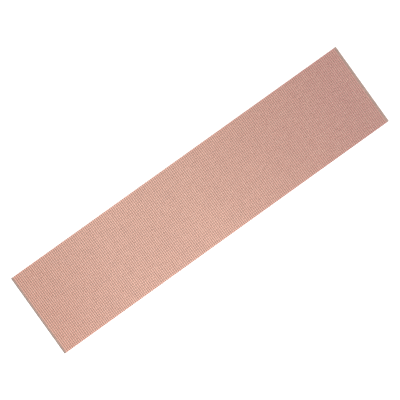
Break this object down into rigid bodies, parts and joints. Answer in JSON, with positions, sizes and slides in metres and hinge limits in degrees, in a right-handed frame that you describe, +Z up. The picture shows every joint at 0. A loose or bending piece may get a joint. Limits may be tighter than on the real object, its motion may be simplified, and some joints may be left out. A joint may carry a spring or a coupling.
{
  "type": "stripboard",
  "caption": "Long flat stripboard for prototype circuits: phenolic-paper sheet with parallel copper strips across it and small component holes on a square grid.",
  "frame": {"origin": "middle of the plain underside, which is the face it lies on", "axes": "+X along the length and across the copper strips, +Y along the strips, +Z up out of the copper face"},
  "size_m": [0.5, 0.1, 0.0015],
  "materials": {
    "laminate": "pressed phenolic paper, satin faces, matt cut edges",
    "copper": "bare copper foil, satin, slightly dulled"
  },
  "bodies": {
    "root": {"base_board": "laminate", "copper_strips": "copper"}
  },
  "joints": []
}
